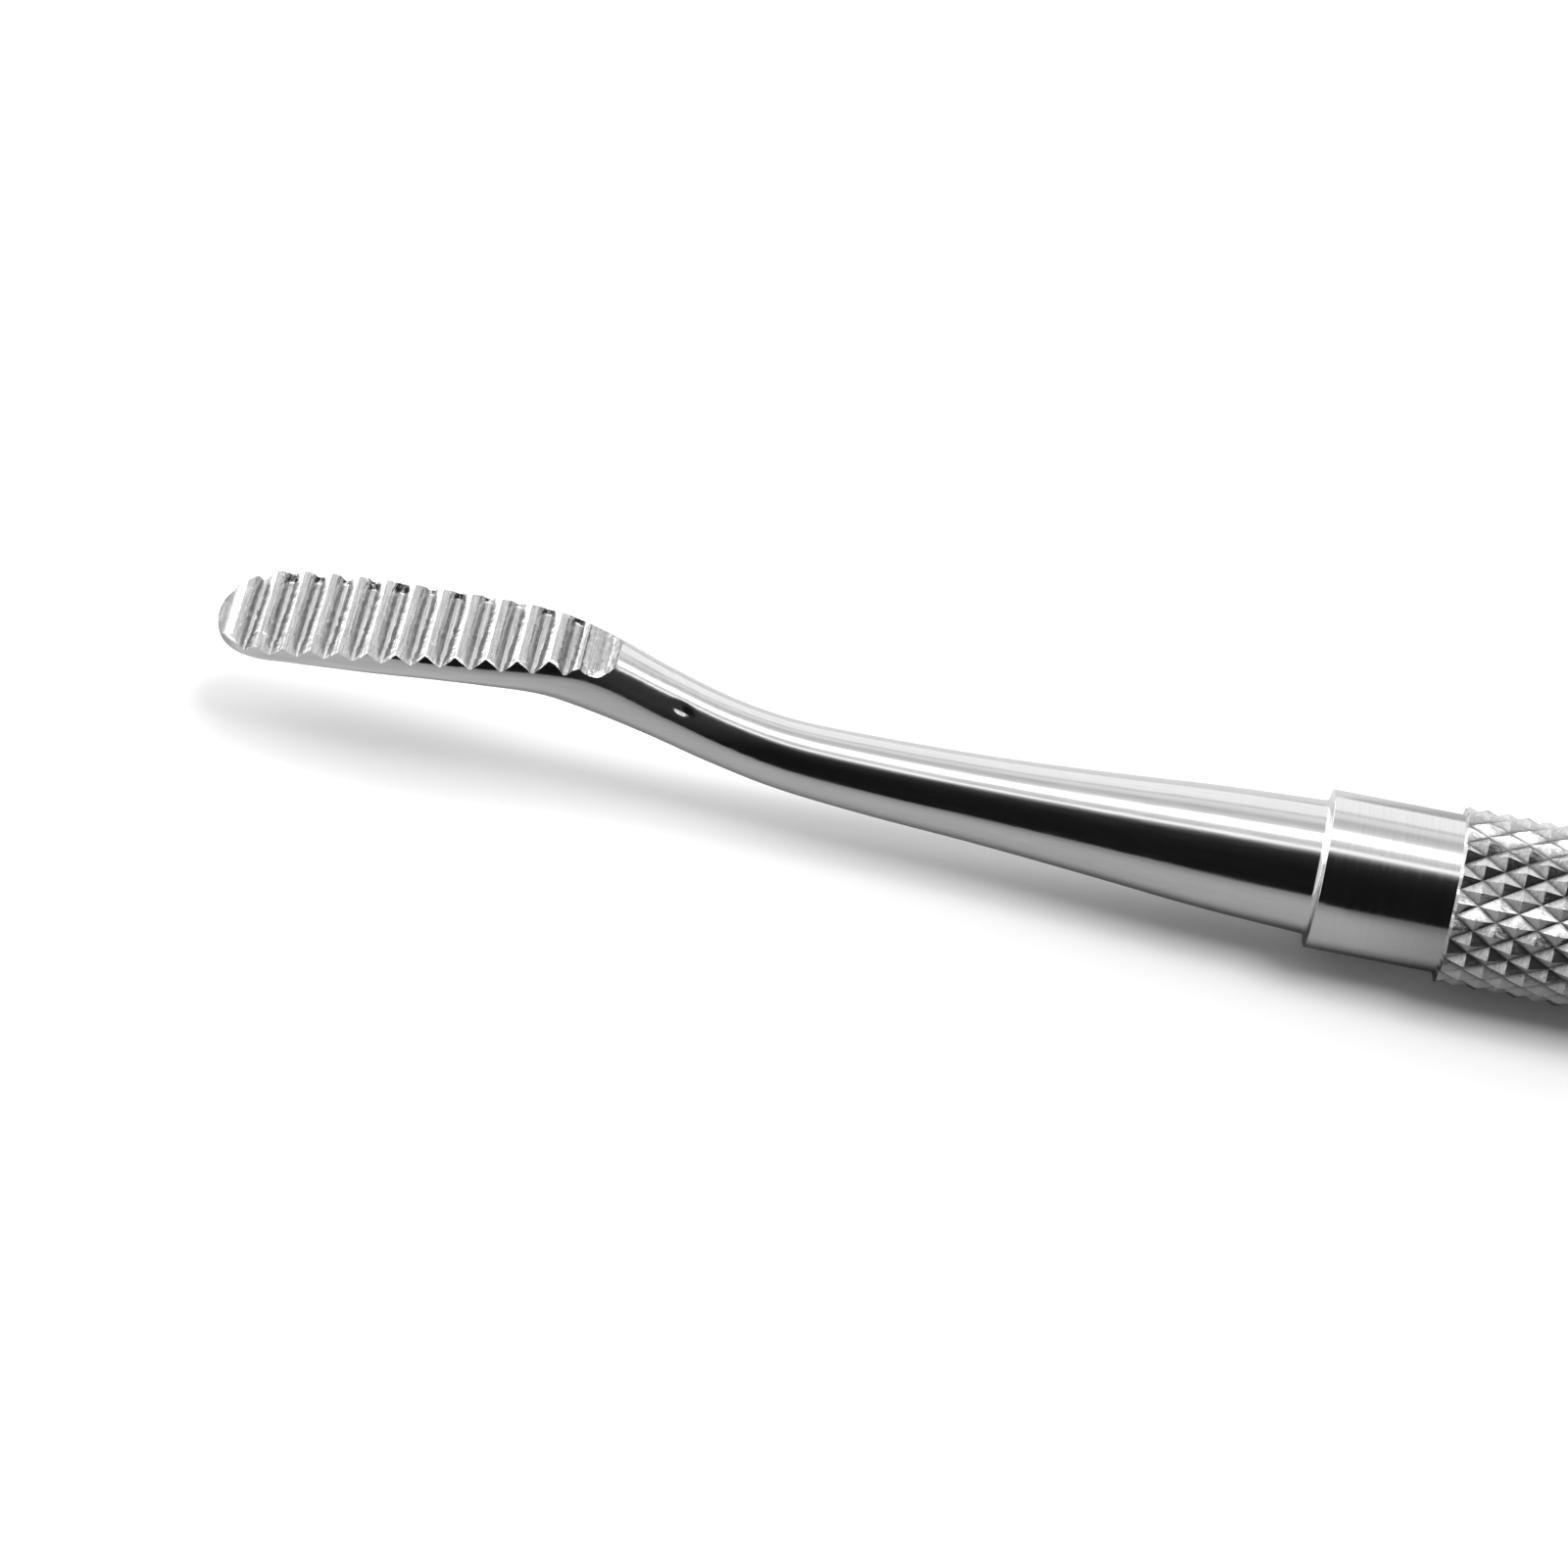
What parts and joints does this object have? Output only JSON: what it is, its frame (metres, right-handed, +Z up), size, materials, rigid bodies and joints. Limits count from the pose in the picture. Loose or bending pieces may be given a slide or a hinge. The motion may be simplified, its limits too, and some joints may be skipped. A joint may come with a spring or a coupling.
{
  "type": "bone file",
  "caption": "Hand-held bone file: a diamond-knurled round grip between plain collars, tapering bent shanks and flat round-nosed blades with coarse cross teeth.",
  "frame": {"origin": "on the table under the middle of the grip, with the file lying at rest", "axes": "+X along the grip towards the end whose teeth face down, +Z up; the end at -X has its teeth facing up"},
  "size_m": [0.18, 0.008, 0.0088],
  "materials": {
    "stainless_steel": "turned and polished stainless steel, with filed teeth and a sharp cut knurl"
  },
  "bodies": {
    "root": {"bone_file": "stainless_steel"}
  },
  "joints": []
}
